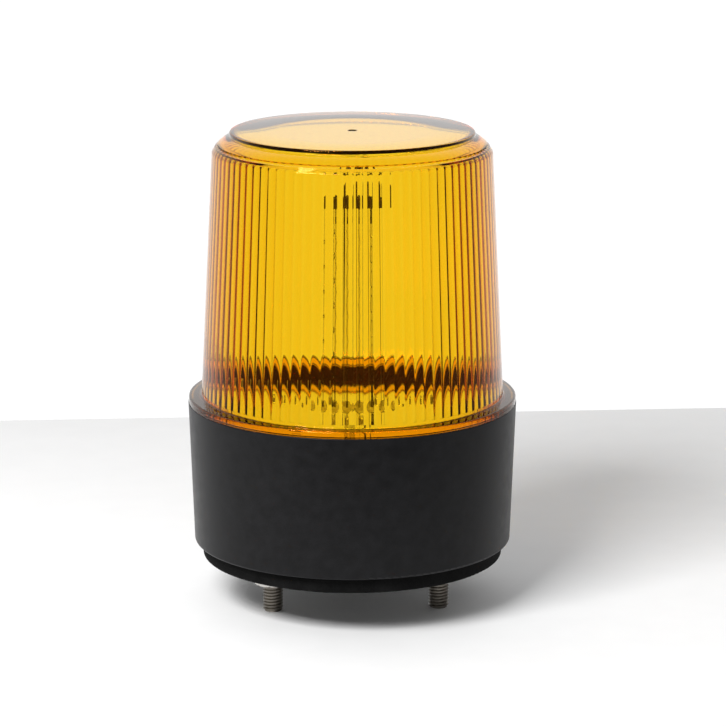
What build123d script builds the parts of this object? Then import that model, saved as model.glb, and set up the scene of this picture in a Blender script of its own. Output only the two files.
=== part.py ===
from build123d import *
from math import cos, pi, radians, sin, sqrt, tan
import os

# Amber flash beacon on a round black base, fixed from below by three studs.
# Millimetres, +Z up. The origin is the centre of the gasket's underside, the face
# that lies on the roof or post the beacon is fixed to. The studs reach below it.
# The front of the beacon, with a stud on each side of it, faces -Y.

# ---- driving dimensions -------------------------------------------------------
# base housing
gasket_thickness = 6.2
base_height = 56.6
base_top_radius = 65.25
base_bottom_radius = 63.1
base_floor = 4.0
base_wall = 3.2
base_bottom_round = 1.2
base_rim_round = 0.4

# mounting gasket and studs
gasket_radius = 59.8
gasket_boss_clearance = 0.85
gasket_edge_round = 1.0
stud_circle_radius = 38.15
stud_count = 3
stud_first_angle = -30.0
stud_thread_radius = 4.0
stud_pitch_radius = 3.6
stud_length = 25.0
stud_chamfer = 0.8
stud_head_across_flats = 13.0
stud_head_height = 5.3
stud_boss_radius = 8.5
stud_boss_recess = 1.5
stud_pocket_depth = 3.5
nut_across_flats = 13.0
nut_height = 6.8
nut_chamfer_radius = 6.3
nut_chamfer_height = 0.65
nut_corner_margin = 0.05
nut_thread_clearance = 0.05
nut_turn = 15.0
stud_clearance = 0.25
washer_radius = 7.4
washer_thickness = 2.0

# lens: flange, ribbed wall, shoulder and raised top
flange_radius = 65.0
flange_thickness = 2.8
flange_round = 0.8
lens_foot_radius = 60.0
lens_rim_radius = 55.15
lens_height = 108.2
shoulder_height = 6.0
lens_wall = 2.3
lens_top_radius = 48.2
lens_top_step = 2.0
lens_top_wall = 1.6
lens_step_wall = 2.0
lens_step_drop = 1.4
lens_top_round = 0.8
shoulder_bulge = 0.9
rim_round = 1.5
gate_radius = 1.9
gate_depth = 0.5
rib_count = 90
rib_arc_radius = 4.2
rib_land = 0.1
rib_foot_height = 3.7

# lens neck, quick thread and seal
neck_clearance = 2.3
neck_depth = 7.9
neck_wall = 2.1
mouth_radius = 61.7
mouth_depth = 12.8
thread_lead = 18.0
thread_span = 30.0
thread_axial = 1.8
thread_starts = 3
thread_first_angle = 60.0
thread_gap = 0.25
thread_tip_gap = 0.4
thread_root = 0.3
base_thread_drop = 4.0
seat_ledge = 2.1
seat_depth = 1.8
seal_width = 3.2
seal_clearance = 0.3
seal_round = 0.5

# reflector plate and the posts under it
plate_clearance = 0.5
plate_thickness = 1.6
plate_depth = 4.4
plate_hole_radius = 11.6
plate_edge_chamfer = 0.3
post_inset = 5.3
post_radius = 4.5
post_first_angle = 1.6
post_count = 3
post_web = 2.5
web_drop = 0.8
board_post_clearance = 0.8

# board, hung under the plate
board_radius = 46.0
board_thickness = 1.6
standoff_length = 10.0
standoff_circle_radius = 23.7
standoff_first_angle = 24.0
standoff_count = 3
standoff_across_flats = 5.5

# small screws
small_screw_radius = 1.45
small_screw_hole = 1.6
small_thread_hole = 1.5
small_head_radius = 2.75
small_head_height = 2.0
small_head_round = 0.8
plate_screw_length = 9.0
pilot_spare = 1.0
board_screw_length = 5.5
slot_width = 0.8
slot_depth = 0.9
slot_length = 9.0

# flash tube and what carries it
tube_radius = 2.3
tube_wall = 0.6
tube_x = -0.8
tube_foot_height = 1.0
tube_glass_length = 83.6
glass_end = 2.0
glass_round = 1.4
cap_radius = 2.7
cap_end_gap = 0.2
lower_cap_stem = 4.0
lower_cap_skirt = 1.2
upper_cap_skirt = 3.0
upper_cap_end = 1.0
electrode_radius = 0.7
electrode_reach = 6.5
electrode_head_radius = 1.3
electrode_head_height = 2.4
rod_radius = 0.6
rod_x = 5.4
rod_height = 91.2
rod_seat = 2.0
clip_low_height = 81.8
clip_height = 4.6
clip_skin = 0.4
clip_width = 2.4
barrel_radius = 2.0
barrel_height = 5.0
trigger_wire_radius = 0.2
trigger_wire_gap = 0.05
trigger_turns = 6
trigger_first_height = 12.0
trigger_pitch = 10.0
socket_radius = 11.0
socket_rise = 0.4
socket_round = 0.3
socket_gap = 0.1

# parts on the underside of the board
capacitor_radius = 12.5
capacitor_height = 20.0
capacitor_place = (-6.0, 30.0)
capacitor_round = 1.2
core_size = (20.0, 22.0, 20.0)
core_place = (26.0, -12.0)
core_limb = 5.0
winding_growth = 4.2
sink_size = (14.0, 26.0, 20.0)
sink_place = (-28.0, -6.0)
sink_fin = 2.0
sink_fin_count = 4
sink_back = 3.0
transistor_size = (4.5, 10.0, 15.0)
leg_size = (0.6, 0.9, 2.0)
leg_pitch = 2.54
terminal_size = (15.0, 9.0, 11.0)
terminal_place = (17.0, 31.5)
terminal_ways = 2
terminal_screw_radius = 1.9
terminal_screw_gap = 0.1
terminal_screw_depth = 4.0
terminal_screw_recess = 0.6
terminal_screw_turn = 50.0
terminal_wire_radius = 1.7
terminal_wire_height = 6.5
fuse_radius = 2.6
fuse_length = 20.0
fuse_place = (-14.0, -33.0)
fuse_cap_length = 5.0
fuse_drop = 5.0
clip_thickness = 0.6
clip_mouth_width = 3.4
coil_radius = 4.5
coil_height = 12.0
coil_round = 0.6
coil_place = (6.0, -36.0)
resistor_size = (6.0, 16.0, 6.5)
resistor_place = (35.0, 12.0)

# cable grommet in the floor
grommet_bore_radius = 3.5
grommet_neck_radius = 7.0
grommet_flange_radius = 10.0
grommet_flange = 2.2
grommet_nose = 3.0

# ---- places that follow from them ---------------------------------------------
neck_radius = mouth_radius - neck_clearance
seat_radius = mouth_radius + seat_ledge
plate_radius = neck_radius - neck_wall - plate_clearance
post_circle_radius = plate_radius - post_inset
gasket_bore_radius = stud_circle_radius + stud_boss_radius + gasket_boss_clearance
base_bottom_z = gasket_thickness
base_top_z = base_bottom_z + base_height
floor_top_z = base_bottom_z + base_floor
underhead_z = floor_top_z - stud_pocket_depth
stud_end_z = underhead_z - stud_length
boss_end_z = stud_boss_recess
washer_bottom_z = boss_end_z - washer_thickness
nut_bottom_z = washer_bottom_z - nut_height
plate_top_z = base_top_z - plate_depth
plate_bottom_z = plate_top_z - plate_thickness
pilot_bottom_z = plate_top_z - plate_screw_length - pilot_spare
board_top_z = plate_bottom_z - standoff_length
board_bottom_z = board_top_z - board_thickness
socket_top_z = plate_top_z + socket_rise
tube_bottom_z = plate_top_z + tube_foot_height
tube_top_z = tube_bottom_z + tube_glass_length
lower_cap_z = tube_bottom_z - lower_cap_stem
rod_bottom_z = board_top_z + rod_seat
clip_bottom_z = plate_top_z + clip_low_height
clip_top_z = clip_bottom_z + clip_height
flange_top_z = base_top_z + flange_thickness
lens_top_z = base_top_z + lens_height
step_z = lens_top_z - lens_top_step
rim_z = step_z - shoulder_height
neck_bottom_z = base_top_z - neck_depth
seat_z = base_top_z - seat_depth
rib_foot_z = base_top_z + rib_foot_height


def ring_places(count, radius, first_angle):
    """Places evenly spaced round the axis, as (x, y, angle)."""
    for i in range(count):
        angle = first_angle + i * 360.0 / count
        yield radius * cos(radians(angle)), radius * sin(radians(angle)), angle


def tube(outer, inner, low, high):
    """A plain round tube, or a rod if inner is 0, between two heights."""
    body = Cylinder(outer, high - low, align=(Align.CENTER, Align.CENTER, Align.MIN))
    if inner > 0:
        body -= Cylinder(inner, high - low, align=(Align.CENTER, Align.CENTER, Align.MIN))
    return Pos(0, 0, low) * body


def block(size, place, low):
    """A box standing at height low, centred at place."""
    return Pos(place[0], place[1], low) * Box(
        size[0], size[1], size[2], align=(Align.CENTER, Align.CENTER, Align.MIN)
    )


def hexagon(across_flats, low, high):
    """A hexagonal bar between two heights."""
    outline = RegularPolygon(across_flats / 2, 6, major_radius=False)
    return extrude(Pos(0, 0, low) * outline, amount=high - low)


def turned(points):
    """A solid of revolution about Z from corner points given as (radius, height)."""
    outline = Polyline(*[(r, 0, z) for r, z in points], close=True)
    return revolve(make_face(outline), Axis.Z)


def lens_outer_radius(z):
    """Radius of the lens's outer wall, which tapers from the flange to the rim."""
    share = (z - flange_top_z) / (rim_z - flange_top_z)
    return lens_foot_radius + share * (lens_rim_radius - lens_foot_radius)


def base_outer_radius(z):
    """Radius of the housing's outer wall, which tapers from the rim to the foot."""
    share = (z - base_bottom_z) / base_height
    return base_bottom_radius + share * (base_top_radius - base_bottom_radius)


def helical_rib(inner, outer, middle_z, middle_angle):
    """One start of the quick thread: a block that climbs as it goes round."""
    rise = thread_lead * thread_span / 360.0
    middle_r = (inner + outer) / 2
    path = Helix(pitch=thread_lead, height=rise, radius=middle_r)
    section = Plane(
        origin=path @ 0, x_dir=(1, 0, 0), z_dir=path % 0
    ) * Rectangle(outer - inner, thread_axial)
    rib = sweep(section, path=path, is_frenet=True)
    return Pos(0, 0, middle_z - rise / 2) * Rot(0, 0, middle_angle - thread_span / 2) * rib


# ---- base, gasket and fastenings ----------------------------------------------
def base_housing():
    """Moulded housing: tapered cup with a floor, stud bosses and three posts."""
    shell = turned([
        (0, base_bottom_z), (base_bottom_radius, base_bottom_z),
        (base_top_radius, base_top_z), (0, base_top_z),
    ])
    shell = fillet(shell.edges().group_by(Axis.Z)[0], base_bottom_round)
    shell = fillet(shell.edges().group_by(Axis.Z)[-1], base_rim_round)
    mouth_z = base_top_z - mouth_depth
    shell -= turned([
        (0, floor_top_z), (base_outer_radius(floor_top_z) - base_wall, floor_top_z),
        (base_outer_radius(mouth_z) - base_wall, mouth_z), (mouth_radius, mouth_z),
        (mouth_radius, seat_z), (seat_radius, seat_z),
        (seat_radius, base_top_z), (0, base_top_z),
    ])
    for x, y, angle in ring_places(post_count, post_circle_radius, post_first_angle):
        web_end = base_outer_radius(floor_top_z) - base_wall / 2
        web = block(
            (web_end - post_circle_radius, post_web, neck_bottom_z - web_drop - floor_top_z),
            ((web_end + post_circle_radius) / 2, 0), floor_top_z,
        )
        shell += Pos(x, y, 0) * tube(post_radius, 0, floor_top_z, plate_bottom_z)
        shell += Rot(0, 0, angle) * web
        shell -= Pos(x, y, 0) * tube(small_thread_hole, 0, pilot_bottom_z, plate_bottom_z)
    for x, y, angle in ring_places(stud_count, stud_circle_radius, stud_first_angle):
        at = Pos(x, y, 0) * Rot(0, 0, angle)
        shell += at * tube(stud_boss_radius, 0, boss_end_z, floor_top_z)
        shell -= at * hexagon(stud_head_across_flats + 2 * stud_clearance, underhead_z, floor_top_z)
        shell -= at * tube(stud_pitch_radius + stud_clearance, 0, boss_end_z, underhead_z)
    shell -= tube(grommet_neck_radius, 0, base_bottom_z, floor_top_z)
    for _, _, angle in ring_places(thread_starts, 1.0, thread_first_angle):
        shell += helical_rib(
            neck_radius + thread_tip_gap, mouth_radius + thread_root,
            base_top_z - base_thread_drop, angle,
        )
    return shell


def mounting_gasket():
    """Sponge-rubber ring under the base, round the stud bosses."""
    ring = tube(gasket_radius, gasket_bore_radius, 0, gasket_thickness)
    outer = ring.edges().filter_by(GeomType.CIRCLE).group_by(SortBy.RADIUS)[-1]
    return fillet(outer, gasket_edge_round)


def mounting_studs():
    """Hex-head screws that stand out of the base as studs, threaded end down."""
    head = hexagon(stud_head_across_flats, underhead_z, underhead_z + stud_head_height)
    shank = tube(stud_pitch_radius, 0, nut_bottom_z, underhead_z)
    end = tube(stud_thread_radius, 0, stud_end_z, nut_bottom_z)
    end = chamfer(end.edges().group_by(Axis.Z)[0], stud_chamfer)
    one = head + shank + end
    places = ring_places(stud_count, stud_circle_radius, stud_first_angle)
    return [Pos(x, y, 0) * Rot(0, 0, angle) * one for x, y, angle in places]


def stud_washers():
    """Washers between the stud bosses and the nuts."""
    one = tube(washer_radius, stud_pitch_radius + stud_clearance, washer_bottom_z, boss_end_z)
    places = ring_places(stud_count, stud_circle_radius, stud_first_angle)
    return [Pos(x, y, 0) * one for x, y, angle in places]


def stud_nuts():
    """Hex nuts run up to the washers, chamfered at both ends."""
    corner = nut_across_flats / sqrt(3) + nut_corner_margin
    one = hexagon(nut_across_flats, nut_bottom_z, washer_bottom_z)
    one &= turned([
        (0, nut_bottom_z), (nut_chamfer_radius, nut_bottom_z),
        (corner, nut_bottom_z + nut_chamfer_height),
        (corner, washer_bottom_z - nut_chamfer_height),
        (nut_chamfer_radius, washer_bottom_z), (0, washer_bottom_z),
    ])
    one -= tube(stud_pitch_radius + nut_thread_clearance, 0, nut_bottom_z, washer_bottom_z)
    places = ring_places(stud_count, stud_circle_radius, stud_first_angle)
    return [Pos(x, y, 0) * Rot(0, 0, nut_turn) * one for x, y, angle in places]


def cable_grommet():
    """Rubber grommet in the floor, with a bore for the supply cable."""
    return turned([
        (grommet_bore_radius, base_bottom_z - grommet_flange),
        (grommet_flange_radius, base_bottom_z - grommet_flange),
        (grommet_flange_radius, base_bottom_z), (grommet_neck_radius, base_bottom_z),
        (grommet_neck_radius, floor_top_z), (grommet_flange_radius, floor_top_z),
        (grommet_flange_radius - grommet_flange, floor_top_z + grommet_flange),
        (grommet_bore_radius + grommet_flange, floor_top_z + grommet_flange + grommet_nose),
        (grommet_bore_radius, floor_top_z + grommet_flange + grommet_nose),
    ])


# ---- lens and seal ------------------------------------------------------------
def lens_outside():
    """Outer shape of the lens above the neck: flange, wall, shoulder, raised top."""
    run = lens_rim_radius - lens_top_radius
    climb = step_z - rim_z
    chord = sqrt(run**2 + climb**2)
    shoulder_middle = (
        (lens_rim_radius + lens_top_radius) / 2 + shoulder_bulge * climb / chord,
        0,
        (rim_z + step_z) / 2 + shoulder_bulge * run / chord,
    )
    line = Polyline(
        (0, 0, neck_bottom_z), (neck_radius, 0, neck_bottom_z),
        (neck_radius, 0, base_top_z), (flange_radius, 0, base_top_z),
        (flange_radius, 0, flange_top_z), (lens_foot_radius, 0, flange_top_z),
        (lens_rim_radius, 0, rim_z),
    )
    shoulder = ThreePointArc(
        (lens_rim_radius, 0, rim_z), shoulder_middle, (lens_top_radius, 0, step_z)
    )
    top = Polyline(
        (lens_top_radius, 0, step_z), (lens_top_radius, 0, lens_top_z),
        (0, 0, lens_top_z), (0, 0, neck_bottom_z),
    )
    body = revolve(make_face(line + shoulder + top), Axis.Z)
    flange_edges = [
        e for e in body.edges().filter_by(GeomType.CIRCLE)
        if abs(e.radius - flange_radius) < 1e-3 and e.center().Z > flange_top_z - 0.01
    ]
    body = fillet(flange_edges, flange_round)
    rim_edges = [
        e for e in body.edges().filter_by(GeomType.CIRCLE)
        if abs(e.radius - lens_rim_radius) < 1e-3 and abs(e.center().Z - rim_z) < 1e-3
    ]
    body = fillet(rim_edges, rim_round)
    return fillet(body.edges().group_by(Axis.Z)[-1], lens_top_round)


def lens_smooth_inside():
    """The hollow of the lens before its ribs: neck, wall and inside of the top."""
    neck_inner = neck_radius - neck_wall
    return turned([
        (0, neck_bottom_z), (neck_inner, neck_bottom_z), (neck_inner, rib_foot_z),
        (lens_outer_radius(rib_foot_z) - lens_wall, rib_foot_z),
        (lens_rim_radius - lens_wall, rim_z),
        (lens_top_radius - lens_step_wall, step_z - lens_step_drop),
        (lens_top_radius - lens_step_wall, lens_top_z - lens_top_wall),
        (0, lens_top_z - lens_top_wall),
    ])


def rib_outline(z):
    """Scalloped outline inside the ribs at one height: an arc for each rib."""
    radius = lens_outer_radius(z) - lens_wall + rib_land
    half = pi / rib_count
    half_pitch = radius * sin(half)
    arc_radius = rib_arc_radius * radius / (lens_foot_radius - lens_wall)
    rise = arc_radius - sqrt(arc_radius**2 - half_pitch**2)
    crest = radius * cos(half) - rise
    arcs = []
    for i in range(rib_count):
        middle = 2 * half * i
        ends = [middle - half, middle + half]
        (ax, ay), (bx, by) = [(radius * cos(a), radius * sin(a)) for a in ends]
        mx, my = crest * cos(middle), crest * sin(middle)
        arcs.append(ThreePointArc((ax, ay, z), (mx, my, z), (bx, by, z)))
    return Wire(arcs)


def lens():
    """Moulded amber lens: smooth outside, upright convex ribs inside, quick thread."""
    ribbed = Solid.make_loft([rib_outline(rib_foot_z), rib_outline(lens_top_z)], ruled=True)
    plain = tube(flange_radius, 0, neck_bottom_z, rib_foot_z)
    hollow = lens_smooth_inside() & (ribbed + plain)
    body = lens_outside() - hollow
    body -= tube(gate_radius, 0, lens_top_z - gate_depth, lens_top_z)
    male_z = base_top_z - base_thread_drop - thread_axial - thread_gap
    for _, _, angle in ring_places(thread_starts, 1.0, thread_first_angle):
        body += helical_rib(
            neck_radius - thread_root, mouth_radius - thread_tip_gap, male_z, angle
        )
    return body


def lens_seal():
    """Rubber ring between the base's seat and the underside of the lens flange."""
    outer = seat_radius - seal_clearance
    ring = tube(outer, outer - seal_width, seat_z, base_top_z)
    return fillet(ring.edges().filter_by(GeomType.CIRCLE), seal_round)


# ---- reflector plate and board ------------------------------------------------
def small_screw(length, top_z):
    """Pan-head screw with a slot, its head's underside at top_z."""
    one = tube(small_screw_radius, 0, top_z - length, top_z)
    head = tube(small_head_radius, 0, top_z, top_z + small_head_height)
    head = fillet(head.edges().group_by(Axis.Z)[-1], small_head_round)
    slot = block(
        (slot_length, slot_width, slot_depth), (0, 0),
        top_z + small_head_height - slot_depth,
    )
    return one + (head - slot)


def reflector_plate():
    """Bright metal plate across the base, over the electronics."""
    plate = tube(plate_radius, 0, plate_bottom_z, plate_top_z)
    plate = chamfer(plate.edges().group_by(Axis.Z)[-1], plate_edge_chamfer)
    plate -= tube(plate_hole_radius, 0, plate_bottom_z, plate_top_z)
    for x, y, angle in ring_places(post_count, post_circle_radius, post_first_angle):
        plate -= Pos(x, y, 0) * tube(small_screw_hole, 0, plate_bottom_z, plate_top_z)
    for x, y, angle in ring_places(standoff_count, standoff_circle_radius, standoff_first_angle):
        plate -= Pos(x, y, 0) * tube(small_screw_hole, 0, plate_bottom_z, plate_top_z)
    return plate


def plate_screws():
    """Screws that hold the plate down on the posts."""
    one = small_screw(plate_screw_length, plate_top_z)
    places = ring_places(post_count, post_circle_radius, post_first_angle)
    return [Pos(x, y, 0) * Rot(0, 0, angle * 2) * one for x, y, angle in places]


def board_standoffs():
    """Hex spacers between the plate and the board, threaded at both ends."""
    one = hexagon(standoff_across_flats, board_top_z, plate_bottom_z)
    one -= tube(small_thread_hole, 0, board_top_z, plate_bottom_z)
    places = ring_places(standoff_count, standoff_circle_radius, standoff_first_angle)
    return [Pos(x, y, 0) * one for x, y, angle in places]


def standoff_screws():
    """Screws through the plate into the tops of the spacers."""
    one = small_screw(board_screw_length, plate_top_z)
    places = ring_places(standoff_count, standoff_circle_radius, standoff_first_angle)
    return [Pos(x, y, 0) * Rot(0, 0, angle) * one for x, y, angle in places]


def board_screws():
    """Screws from below the board into the bottoms of the spacers."""
    one = Rot(180, 0, 0) * small_screw(board_screw_length, 0)
    places = ring_places(standoff_count, standoff_circle_radius, standoff_first_angle)
    return [Pos(x, y, board_bottom_z) * Rot(0, 0, angle) * one for x, y, angle in places]


def circuit_board():
    """Round board that carries the flash tube above and the inverter below."""
    board = tube(board_radius, 0, board_bottom_z, board_top_z)
    for x, y, angle in ring_places(standoff_count, standoff_circle_radius, standoff_first_angle):
        board -= Pos(x, y, 0) * tube(small_screw_hole, 0, board_bottom_z, board_top_z)
    for x, y, angle in ring_places(post_count, post_circle_radius, post_first_angle):
        notch = tube(post_radius + board_post_clearance, 0, board_bottom_z, board_top_z)
        board -= Pos(x, y, 0) * notch
    return board


# ---- flash tube ---------------------------------------------------------------
def tube_socket():
    """Ceramic socket on the board, through the plate, for the tube and its rod."""
    socket = tube(socket_radius, 0, board_top_z, socket_top_z)
    socket = fillet(socket.edges().group_by(Axis.Z)[-1], socket_round)
    socket -= Pos(tube_x, 0, 0) * tube(cap_radius + socket_gap, 0, lower_cap_z, socket_top_z)
    socket -= Pos(rod_x, 0, 0) * tube(rod_radius + socket_gap, 0, rod_bottom_z, socket_top_z)
    return socket


def flash_tube():
    """Straight glass tube with closed ends and a hollow bore."""
    glass = tube(tube_radius, 0, tube_bottom_z, tube_top_z)
    glass = fillet(glass.edges().group_by(Axis.Z)[-1], glass_round)
    glass = fillet(glass.edges().group_by(Axis.Z)[0], glass_round)
    bore = tube(tube_radius - tube_wall, 0, tube_bottom_z + glass_end, tube_top_z - glass_end)
    return Pos(tube_x, 0, 0) * (glass - bore)


def tube_end_caps():
    """Metal caps crimped on both ends of the glass, one in the socket."""
    lower_top = tube_bottom_z + lower_cap_skirt
    upper_low = tube_top_z - upper_cap_skirt
    low = tube(cap_radius, 0, lower_cap_z, lower_top)
    low -= tube(tube_radius, 0, tube_bottom_z - cap_end_gap, lower_top)
    high = tube(cap_radius, 0, upper_low, tube_top_z + upper_cap_end)
    high -= tube(tube_radius, 0, upper_low, tube_top_z + cap_end_gap)
    return [Pos(tube_x, 0, 0) * low, Pos(tube_x, 0, 0) * high]


def tube_electrodes():
    """Tungsten electrodes inside the bore, sealed into the closed ends."""
    lower_tip = tube_bottom_z + electrode_reach
    upper_tip = tube_top_z - electrode_reach
    low = tube(electrode_radius, 0, tube_bottom_z + glass_end, lower_tip)
    low += tube(electrode_head_radius, 0, lower_tip, lower_tip + electrode_head_height)
    high = tube(electrode_radius, 0, upper_tip, tube_top_z - glass_end)
    high += tube(electrode_head_radius, 0, upper_tip - electrode_head_height, upper_tip)
    return [Pos(tube_x, 0, 0) * low, Pos(tube_x, 0, 0) * high]


def return_rod():
    """Stiff wire beside the tube that brings current down from its top."""
    return Pos(rod_x, 0, 0) * tube(rod_radius, 0, rod_bottom_z, plate_top_z + rod_height)


def tube_top_clip():
    """Strap from the tube's top cap to the rod, with a barrel crimped on the rod."""
    barrel_top_z = clip_top_z + barrel_height
    strap = Pos(tube_x, 0, 0) * tube(cap_radius + clip_skin, 0, clip_bottom_z, clip_top_z)
    arm = (rod_x - tube_x, clip_width, clip_height)
    strap += block(arm, ((rod_x + tube_x) / 2, 0), clip_bottom_z)
    strap += Pos(rod_x, 0, 0) * tube(barrel_radius, 0, clip_bottom_z, barrel_top_z)
    strap -= Pos(tube_x, 0, 0) * tube(cap_radius, 0, clip_bottom_z, clip_top_z)
    strap -= Pos(rod_x, 0, 0) * tube(rod_radius, 0, clip_bottom_z, barrel_top_z)
    return strap


def trigger_wire():
    """Fine wire wound round the glass that fires the tube."""
    height = trigger_turns * trigger_pitch
    radius = tube_radius + trigger_wire_radius + trigger_wire_gap
    path = Helix(pitch=trigger_pitch, height=height, radius=radius)
    section = Plane(origin=path @ 0, z_dir=path % 0) * Circle(trigger_wire_radius)
    wire = sweep(section, path=path, is_frenet=True)
    return Pos(tube_x, 0, tube_bottom_z + trigger_first_height) * wire


# ---- parts under the board ----------------------------------------------------
def storage_capacitor():
    """Can capacitor that stores the charge for each flash."""
    low = board_bottom_z - capacitor_height
    can = tube(capacitor_radius, 0, low, board_bottom_z)
    can = fillet(can.edges().group_by(Axis.Z)[0], capacitor_round)
    return Pos(capacitor_place[0], capacitor_place[1], 0) * can


def transformer_core():
    """Ferrite core of the inverter transformer: a closed frame with two windows."""
    low = board_bottom_z - core_size[2]
    core = block(core_size, core_place, low)
    window = (core_size[0] / 2 - core_limb, core_size[1], core_size[2] - 2 * core_limb)
    for side in (-1, 1):
        x = core_place[0] + side * (core_limb / 2 + window[0] / 2)
        core -= block(window, (x, core_place[1]), low + core_limb)
    return core


def transformer_winding():
    """Taped winding round the middle limb of the core."""
    low = board_bottom_z - core_size[2] + core_limb
    height = core_size[2] - 2 * core_limb
    width = core_size[0] - 2 * core_limb
    winding = block(
        (width, core_size[1] + winding_growth, height), core_place, low
    )
    winding = fillet(winding.edges().filter_by(Axis.Z), winding_growth / 4)
    winding -= block((core_limb, core_size[1], height), core_place, low)
    return winding


def heat_sink():
    """Finned aluminium block behind the power transistor."""
    low = board_bottom_z - sink_size[2]
    sink = block(sink_size, sink_place, low)
    pitch = (sink_size[1] - sink_fin) / (sink_fin_count - 1)
    gap = (sink_size[0] - sink_back, pitch - sink_fin, sink_size[2])
    for i in range(sink_fin_count - 1):
        y = sink_place[1] - sink_size[1] / 2 + sink_fin + gap[1] / 2 + i * pitch
        sink -= block(gap, (sink_place[0] - sink_back / 2, y), low)
    return sink


def power_transistor():
    """Switching transistor, flat against the heat sink."""
    x = sink_place[0] + sink_size[0] / 2 + transistor_size[0] / 2
    low = board_bottom_z - transistor_size[2] - leg_size[2]
    body = block(transistor_size, (x, sink_place[1]), low)
    for side in (-1, 0, 1):
        y = sink_place[1] + side * leg_pitch
        body += block(leg_size, (x, y), board_bottom_z - leg_size[2])
    return body


def terminal_block():
    """Screw terminal for the supply wires, on the underside of the board."""
    low = board_bottom_z - terminal_size[2]
    body = block(terminal_size, terminal_place, low)
    for i in range(terminal_ways):
        x = terminal_place[0] + (i - 0.5) * terminal_size[0] / terminal_ways
        hole_radius = terminal_screw_radius + terminal_screw_gap
        hole = tube(hole_radius, 0, low, low + terminal_screw_depth)
        body -= Pos(x, terminal_place[1], 0) * hole
        wire_way = Cylinder(terminal_wire_radius, terminal_size[1])
        body -= Pos(x, terminal_place[1], low + terminal_wire_height) * Rot(90, 0, 0) * wire_way
    return body


def terminal_screws():
    """Clamping screws of the terminal block, heads down."""
    low = board_bottom_z - terminal_size[2]
    head_z = low + terminal_screw_recess
    screw = tube(terminal_screw_radius, 0, head_z, low + terminal_screw_depth)
    screw -= block((slot_length, slot_width, slot_depth), (0, 0), head_z)
    pitch = terminal_size[0] / terminal_ways
    first = terminal_place[0] - pitch / 2
    return [
        Pos(first + i * pitch, terminal_place[1], 0) * Rot(0, 0, terminal_screw_turn * (i + 1)) * screw
        for i in range(terminal_ways)
    ]


def fuse_axis_z():
    """Height of the fuse's axis below the board."""
    return board_bottom_z - fuse_drop


def supply_fuse():
    """Glass fuse with metal ends, lying along X."""
    body = Rot(0, 90, 0) * Cylinder(fuse_radius, fuse_length)
    return Pos(fuse_place[0], fuse_place[1], fuse_axis_z()) * body


def fuse_clips():
    """Sprung clips that hold the fuse by its ends."""
    clips = []
    for side in (-1, 1):
        x = fuse_place[0] + side * (fuse_length - fuse_cap_length) / 2
        outer = Rot(0, 90, 0) * Cylinder(fuse_radius + clip_thickness, fuse_cap_length)
        clip = Pos(x, fuse_place[1], fuse_axis_z()) * outer
        foot = (fuse_cap_length, 2 * clip_thickness, fuse_drop)
        clip += block(foot, (x, fuse_place[1]), fuse_axis_z())
        bore = Rot(0, 90, 0) * Cylinder(fuse_radius, fuse_length)
        clip -= Pos(x, fuse_place[1], fuse_axis_z()) * bore
        mouth = (fuse_cap_length, clip_mouth_width, fuse_radius * 2)
        clip -= block(mouth, (x, fuse_place[1]), fuse_axis_z() - fuse_radius * 2)
        clips.append(clip)
    return clips


def trigger_coil():
    """Small pulse coil that drives the trigger wire."""
    low = board_bottom_z - coil_height
    coil = tube(coil_radius, 0, low, board_bottom_z)
    coil = fillet(coil.edges().group_by(Axis.Z)[0], coil_round)
    return Pos(coil_place[0], coil_place[1], 0) * coil


def charge_resistor():
    """Cement resistor in the charging circuit."""
    return block(resistor_size, resistor_place, board_bottom_z - resistor_size[2])


PIECES = [
    base_housing, mounting_gasket, mounting_studs, stud_washers, stud_nuts, cable_grommet,
    lens, lens_seal, reflector_plate, plate_screws, board_standoffs, standoff_screws,
    board_screws, circuit_board, tube_socket, flash_tube, tube_end_caps, tube_electrodes,
    return_rod, tube_top_clip, trigger_wire, storage_capacitor, transformer_core,
    transformer_winding, heat_sink, power_transistor, terminal_block, terminal_screws,
    supply_fuse, fuse_clips, trigger_coil, charge_resistor,
]

os.makedirs("parts", exist_ok=True)
for piece in PIECES:
    made = piece()
    shape = Compound(children=made) if isinstance(made, list) else made
    export_step(shape, "parts/" + piece.__name__ + ".step")
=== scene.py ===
import bpy
from math import asin, atan2, cos, hypot, pi, radians, sin, sqrt, tan
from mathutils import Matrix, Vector


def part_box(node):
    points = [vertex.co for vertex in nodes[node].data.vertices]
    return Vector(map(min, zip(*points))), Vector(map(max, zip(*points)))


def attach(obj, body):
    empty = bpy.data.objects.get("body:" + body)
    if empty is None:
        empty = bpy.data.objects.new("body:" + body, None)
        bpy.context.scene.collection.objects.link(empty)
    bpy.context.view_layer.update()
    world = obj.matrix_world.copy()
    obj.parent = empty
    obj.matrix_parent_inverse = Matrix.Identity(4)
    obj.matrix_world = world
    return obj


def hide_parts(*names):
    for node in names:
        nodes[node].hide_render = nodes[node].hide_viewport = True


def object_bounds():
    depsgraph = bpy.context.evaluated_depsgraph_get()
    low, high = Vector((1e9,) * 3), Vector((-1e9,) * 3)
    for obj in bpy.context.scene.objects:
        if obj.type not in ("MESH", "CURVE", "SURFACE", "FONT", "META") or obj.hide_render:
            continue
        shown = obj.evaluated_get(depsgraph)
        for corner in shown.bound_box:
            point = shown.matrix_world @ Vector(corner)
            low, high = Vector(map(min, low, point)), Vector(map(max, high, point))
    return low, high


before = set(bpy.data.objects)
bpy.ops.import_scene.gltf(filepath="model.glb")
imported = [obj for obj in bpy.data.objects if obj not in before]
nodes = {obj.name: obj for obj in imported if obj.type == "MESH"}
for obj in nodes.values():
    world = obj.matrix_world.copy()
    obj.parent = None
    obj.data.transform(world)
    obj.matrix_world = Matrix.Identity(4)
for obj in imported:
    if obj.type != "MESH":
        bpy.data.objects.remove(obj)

cad_low, cad_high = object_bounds()
MM = 0.001

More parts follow.
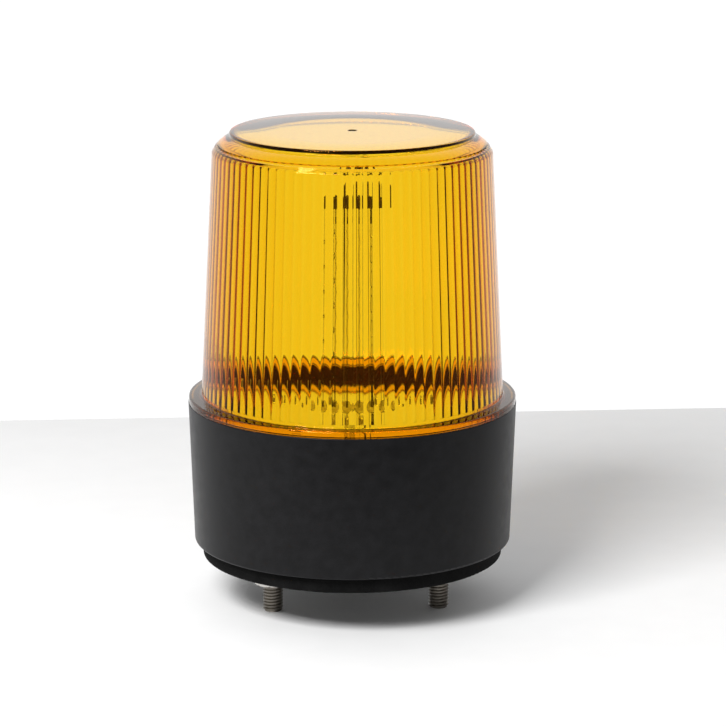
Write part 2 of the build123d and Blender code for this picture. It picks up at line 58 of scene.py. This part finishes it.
# ---- Lens ---------------------------------------------------------------------
# One moulding in clear amber acrylic: a neck that screws into the base, a flange, a
# tapered wall with 90 upright ribs on its inside, a soft shoulder and a raised disc.
# It is turned here from its section, and the ribs are then pressed into its inside.
flange_high, step_high, shoulder_high, step_drop, foot_high = 2.8, 2.0, 6.0, 1.4, 3.7
gate_r, gate_deep, rib_land = 1.9, 0.5, 0.1
base_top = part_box("base_housing")[1].z / MM
flange_top = base_top + flange_high
lens_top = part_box("lens")[1].z / MM
step_z = lens_top - step_high
rim_z = step_z - shoulder_high
rib_foot = base_top + foot_high
neck_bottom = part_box("lens")[0].z / MM
foot_r, rim_r, disc_r, flange_r, neck_r = 60.0, 55.15, 48.2, 65.0, 59.4
wall, step_wall, top_wall, neck_wall = 2.3, 2.0, 1.6, 2.1
ribs, steps_per_rib, rib_arc = 90, 10, 4.2


def wall_radius(z):
    """Outer radius of the tapered wall at a height."""
    return foot_r + (rim_r - foot_r) * (z - flange_top) / (rim_z - flange_top)


def rounded(corner, before, after, radius, count=5):
    """Points of a small round in place of a corner of a section."""
    c = Vector(corner)
    a = (Vector(before) - c).normalized()
    b = (Vector(after) - c).normalized()
    half = asin(min(1.0, (a - b).length / 2))
    back = radius / tan(half)
    centre = c + (a + b).normalized() * (radius / sin(half))
    start, end = c + a * back - centre, c + b * back - centre
    turn = start.angle_signed(end)
    out = []
    for i in range(count + 1):
        t = -turn * i / count
        spun = Vector((start.x * cos(t) - start.y * sin(t), start.x * sin(t) + start.y * cos(t)))
        out.append(tuple(centre + spun))
    return out


def deselect():
    if bpy.context.object and bpy.context.object.mode != "OBJECT":
        bpy.ops.object.mode_set(mode="OBJECT")
    bpy.ops.object.select_all(action="DESELECT")


def turned_piece(name, section, steps, closed=False):
    """A piece turned on a lathe: its section is drawn corner by corner, then spun."""
    deselect()
    bpy.ops.mesh.primitive_plane_add(size=MM, location=(0, 0, 0))
    piece = bpy.context.object
    piece.name = name
    bpy.ops.object.mode_set(mode="EDIT")
    bpy.ops.mesh.select_all(action="SELECT")
    bpy.ops.mesh.merge(type="CENTER")
    at = Vector((section[0][0] * MM, 0, section[0][1] * MM))
    bpy.ops.transform.translate(value=at)
    for r, z in section[1:] + (section[:1] if closed else []):
        to = Vector((r * MM, 0, z * MM))
        bpy.ops.mesh.extrude_region_move(TRANSFORM_OT_translate={"value": to - at})
        at = to
    bpy.ops.mesh.select_all(action="SELECT")
    bpy.ops.mesh.spin(steps=steps, angle=2 * pi, center=(0, 0, 0), axis=(0, 0, 1))
    bpy.ops.mesh.select_all(action="SELECT")
    bpy.ops.mesh.remove_doubles(threshold=1e-6)
    bpy.ops.mesh.normals_make_consistent(inside=False)
    bpy.ops.object.mode_set(mode="OBJECT")
    return piece


run, climb = rim_r - disc_r, step_z - rim_z
chord, bulge = hypot(run, climb), 0.9
curve = (chord**2 / 4 + bulge**2) / (2 * bulge)
across, up = climb / chord, run / chord
middle = ((rim_r + disc_r) / 2, (rim_z + step_z) / 2)
hub = (middle[0] - across * (curve - bulge), middle[1] - up * (curve - bulge))
first = atan2(rim_z - hub[1], rim_r - hub[0])
last = atan2(step_z - hub[1], disc_r - hub[0])
shoulder = []
for i in range(13):
    a = first + (last - first) * i / 12
    shoulder.append((hub[0] + curve * cos(a), hub[1] + curve * sin(a)))

section = [(neck_r - neck_wall, neck_bottom), (neck_r, neck_bottom), (neck_r, base_top)]
section += [(flange_r, base_top)]
section += rounded((flange_r, flange_top), (flange_r, base_top), (foot_r, flange_top), 0.8)
section += rounded((foot_r, flange_top), (flange_r, flange_top), (rim_r, rim_z), 0.7, 4)
section += [(wall_radius(z), z) for z in (80, 100, 120, 140, 155)]
section += rounded((rim_r, rim_z), (wall_radius(140), 140), shoulder[5], 1.5, 5)
section += shoulder[3:-1]
section += rounded(shoulder[-1], shoulder[-2], (disc_r, lens_top), 0.35, 3)
section += rounded((disc_r, lens_top), (disc_r, step_z), (0, lens_top), 0.8, 5)
section += [(30, lens_top), (8, lens_top), (gate_r, lens_top), (1.5, lens_top - gate_deep)]
section += [(0, lens_top - gate_deep), (0, lens_top - top_wall), (8, lens_top - top_wall)]
section += [(30, lens_top - top_wall)]
section += rounded(
    (disc_r - step_wall, lens_top - top_wall), (0, lens_top - top_wall),
    (disc_r - step_wall, step_z - step_drop), 0.5, 3,
)
section += [(disc_r - step_wall, step_z - step_drop)]
inner_rim = rim_r - wall
slope = (disc_r - step_wall - inner_rim) / (step_z - step_drop - rim_z)
section += [(inner_rim + slope * h, rim_z + h) for h in (3.0, 1.2, 0.5, 0.4, 0.3, 0.2, 0.1, 0)]
section += [(wall_radius(z) - wall, z) for z in (150, 130, 110, 90, 75, rib_foot)]
section += [(neck_r - neck_wall, rib_foot)]
lens = turned_piece("amber_lens", section, ribs * steps_per_rib, closed=True)


def rib_radius(z, angle):
    """Radius of the ribbed inner surface at a height and an angle."""
    valley = wall_radius(z) - wall + rib_land
    arc = rib_arc * valley / (foot_r - wall)
    half = pi / ribs
    crest = valley * cos(half) - (arc - sqrt(arc**2 - (valley * sin(half)) ** 2))
    off = (angle + half) % (2 * half) - half
    middle_r = crest + arc
    return middle_r * cos(off) - sqrt(arc**2 - (middle_r * sin(off)) ** 2)


for v in lens.data.vertices:
    r, z = hypot(v.co.x, v.co.y) / MM, v.co.z / MM
    inside = rib_foot - 0.01 <= z <= rim_z + 3.1 and r < wall_radius(min(z, rim_z)) - 1.5
    if inside and r > disc_r:
        k = min(r, rib_radius(z, atan2(v.co.y, v.co.x))) / r
        v.co.x *= k
        v.co.y *= k

# The three starts of the quick thread stand out from the neck.
lead, span, thread_high, thread_drop, thread_gap = 18.0, 30.0, 1.8, 4.0, 0.25
thread_middle, thread_deep = 60.2, 1.1
male_z = base_top - thread_drop - thread_high - thread_gap
starts = []
for k in range(3):
    deselect()
    bpy.ops.mesh.primitive_cube_add(size=1, location=(0, 0, 0))
    start = bpy.context.object
    bpy.ops.object.mode_set(mode="EDIT")
    bpy.ops.mesh.select_all(action="SELECT")
    bpy.ops.mesh.bevel(offset=0.12, segments=2, affect="EDGES")
    bpy.ops.mesh.subdivide(number_cuts=5)
    bpy.ops.object.mode_set(mode="OBJECT")
    for v in start.data.vertices:
        r = thread_middle + thread_deep * v.co.x
        a = radians(60 + 120 * k + v.co.y * span)
        z = male_z + v.co.y * lead * span / 360 + v.co.z * thread_high
        v.co = Vector((r * cos(a), r * sin(a), z)) * MM
    starts.append(start)
deselect()
for start in starts:
    start.select_set(True)
lens.select_set(True)
bpy.context.view_layer.objects.active = lens
bpy.ops.object.join()
bpy.ops.object.shade_smooth_by_angle(angle=radians(30))

amber = bpy.data.materials.new("clear_amber_acrylic")
amber.use_nodes = True
tree = amber.node_tree
shader = tree.nodes["Principled BSDF"]
shader.inputs["Base Color"].default_value = (1, 1, 1, 1)
shader.inputs["Transmission Weight"].default_value = 1
shader.inputs["IOR"].default_value = 1.49
shader.inputs["Specular Tint"].default_value = (1.0, 0.38, 0.08, 1)
place = tree.nodes.new("ShaderNodeTexCoord")
haze = tree.nodes.new("ShaderNodeTexNoise")
haze.inputs["Scale"].default_value = 70
spread = tree.nodes.new("ShaderNodeMapRange")
spread.inputs["To Min"].default_value = 0.0
spread.inputs["To Max"].default_value = 0.03
tree.links.new(place.outputs["Object"], haze.inputs["Vector"])
tree.links.new(haze.outputs["Fac"], spread.inputs["Value"])
tree.links.new(spread.outputs["Result"], shader.inputs["Roughness"])
ripple = tree.nodes.new("ShaderNodeBump")
ripple.inputs["Strength"].default_value = 0.05
ripple.inputs["Distance"].default_value = 0.0001
tree.links.new(haze.outputs["Fac"], ripple.inputs["Height"])
tree.links.new(ripple.outputs["Normal"], shader.inputs["Normal"])
tint = tree.nodes.new("ShaderNodeVolumeAbsorption")
tint.inputs["Color"].default_value = (0.985, 0.863, 0.016, 1)
tint.inputs["Density"].default_value = 900
tree.links.new(tint.outputs["Volume"], tree.nodes["Material Output"].inputs["Volume"])
lens.data.materials.clear()
lens.data.materials.append(amber)
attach(lens, "lens")
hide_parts("lens")

# ---- Base housing -------------------------------------------------------------
# A tapered cup moulded in black plastic, with a fine spark texture that softens its
# gloss. It holds the board, and the lens screws into its mouth.


def finish(
    name, dark, light, grain, rough, metal=0.0, relief=0.00002, stretch=(1, 1, 1), spec=0.5
):
    """A solid finish whose colour, gloss and relief vary with a fine grain."""
    made = bpy.data.materials.new(name)
    made.use_nodes = True
    t = made.node_tree
    s = t.nodes["Principled BSDF"]
    s.inputs["Metallic"].default_value = metal
    s.inputs["Specular IOR Level"].default_value = spec
    where = t.nodes.new("ShaderNodeTexCoord")
    scale = t.nodes.new("ShaderNodeMapping")
    scale.inputs["Scale"].default_value = stretch
    t.links.new(where.outputs["Object"], scale.inputs["Vector"])
    broad = t.nodes.new("ShaderNodeTexNoise")
    broad.inputs["Scale"].default_value = grain / 12
    broad.inputs["Detail"].default_value = 4
    fine = t.nodes.new("ShaderNodeTexNoise")
    fine.inputs["Scale"].default_value = grain
    fine.inputs["Detail"].default_value = 3
    t.links.new(scale.outputs["Vector"], broad.inputs["Vector"])
    t.links.new(scale.outputs["Vector"], fine.inputs["Vector"])
    both = t.nodes.new("ShaderNodeMath")
    both.operation = "MULTIPLY_ADD"
    both.inputs[1].default_value = 0.4
    t.links.new(fine.outputs["Fac"], both.inputs[0])
    half = t.nodes.new("ShaderNodeMath")
    half.operation = "MULTIPLY"
    half.inputs[1].default_value = 0.6
    t.links.new(broad.outputs["Fac"], half.inputs[0])
    t.links.new(half.outputs["Value"], both.inputs[2])
    paint = t.nodes.new("ShaderNodeValToRGB")
    paint.color_ramp.elements[0].position = 0.35
    paint.color_ramp.elements[1].position = 0.65
    paint.color_ramp.elements[0].color = (*dark, 1)
    paint.color_ramp.elements[1].color = (*light, 1)
    t.links.new(both.outputs["Value"], paint.inputs["Fac"])
    t.links.new(paint.outputs["Color"], s.inputs["Base Color"])
    gloss = t.nodes.new("ShaderNodeMapRange")
    gloss.inputs["From Min"].default_value = 0.3
    gloss.inputs["From Max"].default_value = 0.7
    gloss.inputs["To Min"].default_value = rough[0]
    gloss.inputs["To Max"].default_value = rough[1]
    t.links.new(both.outputs["Value"], gloss.inputs["Value"])
    t.links.new(gloss.outputs["Result"], s.inputs["Roughness"])
    bump = t.nodes.new("ShaderNodeBump")
    bump.inputs["Distance"].default_value = relief
    t.links.new(fine.outputs["Fac"], bump.inputs["Height"])
    t.links.new(bump.outputs["Normal"], s.inputs["Normal"])
    return made


def dress(node, material):
    """Puts a finish on a CAD node in place of its plain one."""
    mesh = nodes[node].data
    if not mesh.materials:
        mesh.materials.append(material)
    for i in range(len(mesh.materials)):
        mesh.materials[i] = material


black_plastic = finish(
    "spark_textured_black_plastic", (0.006, 0.006, 0.0065), (0.011, 0.011, 0.012), 2600,
    (0.30, 0.42), relief=0.00002, spec=0.12,
)
dress("base_housing", black_plastic)

# ---- Gasket, seal and grommet -------------------------------------------------
# The gasket is closed-cell sponge rubber, cut with a knife, so its edge shows fine
# cells. The seal and the grommet are moulded in solid rubber, matt and smoother.
dress("mounting_gasket", finish(
    "sponge_rubber", (0.002, 0.002, 0.002), (0.008, 0.008, 0.008), 1500, (0.85, 0.97),
    relief=0.00018, spec=0.1,
))
dress("lens_seal", finish(
    "moulded_seal_rubber", (0.006, 0.006, 0.006), (0.011, 0.011, 0.011), 1800, (0.5, 0.7),
    relief=0.00003, spec=0.3,
))
dress("cable_grommet", finish(
    "grommet_rubber", (0.008, 0.008, 0.008), (0.015, 0.015, 0.015), 1400, (0.6, 0.75),
    relief=0.00004, spec=0.3,
))

# ---- Mounting studs -----------------------------------------------------------
# Three hex-head steel screws, M8 by 25, dropped in from inside the base so that their
# rolled threads stand out below it. Each thread is one tooth carried up a screw path.
pitch, crest, root = 1.25, 4.0, 3.25
shank_r, across_flats, head_high, end_chamfer, stud_circle = 3.6, 13, 5.3, 0.8, 38.15
stud_low, stud_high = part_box("mounting_studs")
stud_end = stud_low.z / MM
head_under = stud_high.z / MM - head_high
thread_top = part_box("stud_nuts")[0].z / MM + 1.0
turns = int((thread_top - stud_end) / pitch) + 3
steel = finish(
    "rolled_stud_steel", (0.16, 0.145, 0.125), (0.34, 0.31, 0.27), 900, (0.28, 0.5),
    metal=1.0, relief=0.00003,
)
studs = []
for k in range(3):
    deselect()
    bpy.ops.mesh.primitive_plane_add(size=MM, location=(0, 0, 0))
    stud = bpy.context.object
    bpy.ops.object.mode_set(mode="EDIT")
    bpy.ops.mesh.select_all(action="SELECT")
    bpy.ops.mesh.merge(type="CENTER")
    start = stud_end - pitch * 1.5
    tooth = [(root, 0), (root, pitch * 0.14), (crest, pitch * 0.45), (crest, pitch * 0.57)]
    tooth += [(root, pitch * 0.88), (root, pitch)]
    at = Vector((tooth[0][0] * MM, 0, (start + tooth[0][1]) * MM))
    bpy.ops.transform.translate(value=at)
    for r, h in tooth[1:]:
        to = Vector((r * MM, 0, (start + h) * MM))
        bpy.ops.mesh.extrude_region_move(TRANSFORM_OT_translate={"value": to - at})
        at = to
    bpy.ops.object.mode_set(mode="OBJECT")
    path = stud.modifiers.new("screw_path", "SCREW")
    path.axis = "Z"
    path.screw_offset = pitch * MM
    path.iterations = turns
    path.steps = 32
    path.render_steps = 32
    path.use_merge_vertices = True
    path.merge_threshold = 1e-6
    bpy.ops.object.modifier_apply(modifier=path.name)
    bpy.ops.object.mode_set(mode="EDIT")
    for cut, low_side in ((stud_end, True), (thread_top, False)):
        bpy.ops.mesh.select_all(action="SELECT")
        bpy.ops.mesh.bisect(
            plane_co=(0, 0, cut * MM), plane_no=(0, 0, 1), use_fill=True,
            clear_inner=low_side, clear_outer=not low_side, threshold=1e-7,
        )
    bpy.ops.mesh.select_all(action="SELECT")
    bpy.ops.mesh.remove_doubles(threshold=2e-6)
    bpy.ops.mesh.normals_make_consistent(inside=False)
    bpy.ops.object.mode_set(mode="OBJECT")
    for v in stud.data.vertices:
        r = hypot(v.co.x, v.co.y) / MM
        limit = crest - max(0.0, end_chamfer - (v.co.z / MM - stud_end))
        if r > limit:
            v.co.x *= limit / r
            v.co.y *= limit / r
    parts = [stud]
    shank = (shank_r, 48, thread_top - 0.1, head_under)
    head = (across_flats / sqrt(3), 6, head_under, stud_high.z / MM)
    for radius, sides, low, high in (shank, head):
        deselect()
        bpy.ops.mesh.primitive_cylinder_add(
            vertices=sides, radius=radius * MM, depth=(high - low) * MM,
            location=(0, 0, (low + high) / 2 * MM),
        )
        part = bpy.context.object
        part.rotation_euler.z = radians(30)
        bpy.ops.object.transform_apply(location=True, rotation=True, scale=True)
        bpy.ops.object.mode_set(mode="EDIT")
        bpy.ops.mesh.select_all(action="SELECT")
        bpy.ops.mesh.bevel(offset=0.15 * MM, segments=2, affect="EDGES")
        bpy.ops.object.mode_set(mode="OBJECT")
        parts.append(part)
    deselect()
    for part in parts:
        part.select_set(True)
    bpy.context.view_layer.objects.active = stud
    bpy.ops.object.join()
    angle = radians(-30 + 120 * k)
    for v in stud.data.vertices:
        x, y = v.co.x, v.co.y
        v.co.x = x * cos(angle) - y * sin(angle) + stud_circle * MM * cos(angle)
        v.co.y = x * sin(angle) + y * cos(angle) + stud_circle * MM * sin(angle)
    bpy.ops.object.shade_smooth_by_angle(angle=radians(35))
    stud.name = "threaded_stud_%d" % (k + 1)
    stud.data.materials.clear()
    stud.data.materials.append(steel)
    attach(stud, "base")
    studs.append(stud)
for stud in studs:
    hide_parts("mounting_studs")

# ---- Nuts and washers ---------------------------------------------------------
# Zinc-plated steel, cold formed. The plating is bright and a little cloudy, and the
# washers are stamped from sheet.
zinc = finish(
    "zinc_plating", (0.52, 0.50, 0.47), (0.72, 0.70, 0.67), 700, (0.25, 0.42),
    metal=1.0, relief=0.00001,
)
for node in ("stud_nuts", "stud_washers", "plate_screws", "standoff_screws", "board_screws",
             "terminal_screws"):
    dress(node, zinc)

# ---- Reflector plate ----------------------------------------------------------
# Bright rolled aluminium sheet, laid on the three posts and screwed down. It throws
# the flash upwards and hides the board.
dress("reflector_plate", finish(
    "bright_rolled_aluminium", (0.86, 0.86, 0.85), (0.93, 0.93, 0.92), 500, (0.04, 0.12),
    metal=1.0, relief=0.000004,
))
dress("board_standoffs", finish(
    "nickel_plated_brass", (0.50, 0.47, 0.42), (0.66, 0.63, 0.57), 800, (0.2, 0.35),
    metal=1.0, relief=0.00001,
))

# ---- Flash tube and its socket ------------------------------------------------
# A straight glass tube with metal caps, stood in a ceramic socket. A stiff rod beside
# it brings the current back down, and a fine wire round the glass fires it.
tube_glass = bpy.data.materials.new("clear_tube_glass")
tube_glass.use_nodes = True
tree = tube_glass.node_tree
shader = tree.nodes["Principled BSDF"]
shader.inputs["Transmission Weight"].default_value = 1
shader.inputs["IOR"].default_value = 1.47
place = tree.nodes.new("ShaderNodeTexCoord")
streak = tree.nodes.new("ShaderNodeTexNoise")
streak.inputs["Scale"].default_value = 120
draw = tree.nodes.new("ShaderNodeMapRange")
draw.inputs["To Min"].default_value = 0.0
draw.inputs["To Max"].default_value = 0.04
tree.links.new(place.outputs["Object"], streak.inputs["Vector"])
tree.links.new(streak.outputs["Fac"], draw.inputs["Value"])
tree.links.new(draw.outputs["Result"], shader.inputs["Roughness"])
for node in ("flash_tube", "supply_fuse"):
    dress(node, tube_glass)
dress("tube_socket", finish(
    "white_steatite", (0.66, 0.63, 0.57), (0.78, 0.76, 0.70), 900, (0.4, 0.6), relief=0.00003,
))
nickel = finish(
    "dull_nickel", (0.13, 0.12, 0.11), (0.26, 0.245, 0.22), 1100, (0.3, 0.5), metal=1.0,
    relief=0.00002,
)
for node in ("tube_end_caps", "return_rod", "tube_top_clip", "fuse_clips", "trigger_wire"):
    dress(node, nickel)
dress("tube_electrodes", finish(
    "sintered_tungsten", (0.05, 0.05, 0.05), (0.12, 0.12, 0.115), 2400, (0.55, 0.75),
    metal=1.0, relief=0.00004,
))

# ---- Board and what hangs under it --------------------------------------------
# A glass-fibre laminate board on three spacers, with the flash supply underneath:
# capacitor, transformer, transistor on its heat sink, fuse and supply terminals.
dress("circuit_board", finish(
    "green_laminate", (0.012, 0.085, 0.035), (0.022, 0.13, 0.055), 1600, (0.3, 0.45),
))
dress("storage_capacitor", finish(
    "capacitor_sleeve", (0.010, 0.016, 0.05), (0.018, 0.027, 0.08), 600, (0.22, 0.35),
))
dress("transformer_core", finish(
    "sintered_ferrite", (0.018, 0.017, 0.017), (0.042, 0.04, 0.039), 2200, (0.6, 0.8),
    relief=0.00006,
))
dress("transformer_winding", finish(
    "winding_tape", (0.62, 0.40, 0.05), (0.78, 0.53, 0.09), 500, (0.25, 0.4),
    stretch=(1, 1, 12),
))
dress("heat_sink", finish(
    "extruded_aluminium", (0.55, 0.55, 0.56), (0.72, 0.72, 0.73), 900, (0.3, 0.45),
    metal=1.0, stretch=(8, 8, 1),
))
epoxy = finish(
    "black_epoxy", (0.010, 0.010, 0.011), (0.022, 0.022, 0.024), 2600, (0.4, 0.6),
)
for node in ("power_transistor", "trigger_coil"):
    dress(node, epoxy)
dress("terminal_block", finish(
    "green_terminal_plastic", (0.015, 0.20, 0.06), (0.03, 0.28, 0.09), 900, (0.35, 0.5),
))
dress("charge_resistor", finish(
    "white_cement", (0.55, 0.53, 0.48), (0.72, 0.70, 0.65), 1300, (0.8, 0.95),
    relief=0.00008,
))

# ---- Floor, light and camera --------------------------------------------------
# A plain pale sweep under the stud ends, a white backdrop in a dimmer room, and one
# large soft lamp above the left shoulder.
deselect()
bpy.ops.mesh.primitive_plane_add(size=1, location=(0, 0, cad_low[2]))
floor = bpy.context.object
floor.name = "studio_floor"
sweep_side, sweep_front, sweep_back = 0.5, -0.2, 0.3
bpy.ops.transform.resize(value=(2 * sweep_side, sweep_back - sweep_front, 1))
bpy.ops.transform.translate(value=(0, (sweep_back + sweep_front) / 2, 0))
bpy.ops.object.transform_apply(location=True, rotation=True, scale=True)
pale = finish("pale_floor", (0.90, 0.90, 0.90), (0.93, 0.93, 0.93), 60, (0.7, 0.8), relief=0.0)
floor.data.materials.append(pale)

world = bpy.data.worlds.new("white_backdrop")
bpy.context.scene.world = world
world.use_nodes = True
tree = world.node_tree
backdrop = tree.nodes["Background"]
backdrop.inputs["Color"].default_value = (1, 1, 1, 1)
where = tree.nodes.new("ShaderNodeTexCoord")
split = tree.nodes.new("ShaderNodeSeparateXYZ")
fade = tree.nodes.new("ShaderNodeMapRange")
fade.interpolation_type = "SMOOTHSTEP"
fade.inputs["From Min"].default_value = 0.1
fade.inputs["From Max"].default_value = 0.75
fade.inputs["To Min"].default_value = 0.3
fade.inputs["To Max"].default_value = 1.06
tree.links.new(where.outputs["Generated"], split.inputs["Vector"])
tree.links.new(split.outputs["Y"], fade.inputs["Value"])
tree.links.new(fade.outputs["Result"], backdrop.inputs["Strength"])

lamp_data = bpy.data.lights.new("soft_box", "AREA")
lamp_data.shape = "RECTANGLE"
lamp_data.size = 0.5
lamp_data.size_y = 0.35
lamp_data.energy = 12
lamp = bpy.data.objects.new("soft_box", lamp_data)
bpy.context.collection.objects.link(lamp)
lamp.location = (-0.45, -0.6, 0.75)
aim = Vector((0, 0, 0.08)) - lamp.location
lamp.rotation_euler = aim.to_track_quat("-Z", "Y").to_euler()

camera_data = bpy.data.cameras.new("camera")
camera = bpy.data.objects.new("camera", camera_data)
bpy.context.collection.objects.link(camera)
camera_data.sensor_width = 36
camera_data.lens = 172.05
camera_data.shift_x = 0.0147
target = Vector((0, 0, 0.0775))
height, turn, distance = radians(13.11), radians(-4.2), 1.379
camera.location = target + distance * Vector(
    (sin(turn) * cos(height), -cos(turn) * cos(height), sin(height))
)
camera.rotation_euler = (target - camera.location).to_track_quat("-Z", "Y").to_euler()
bpy.context.scene.camera = camera
bpy.context.scene.view_settings.view_transform = "Standard"
bpy.context.scene.cycles.max_bounces = 64
bpy.context.scene.cycles.transmission_bounces = 64
bpy.context.scene.cycles.transparent_max_bounces = 24
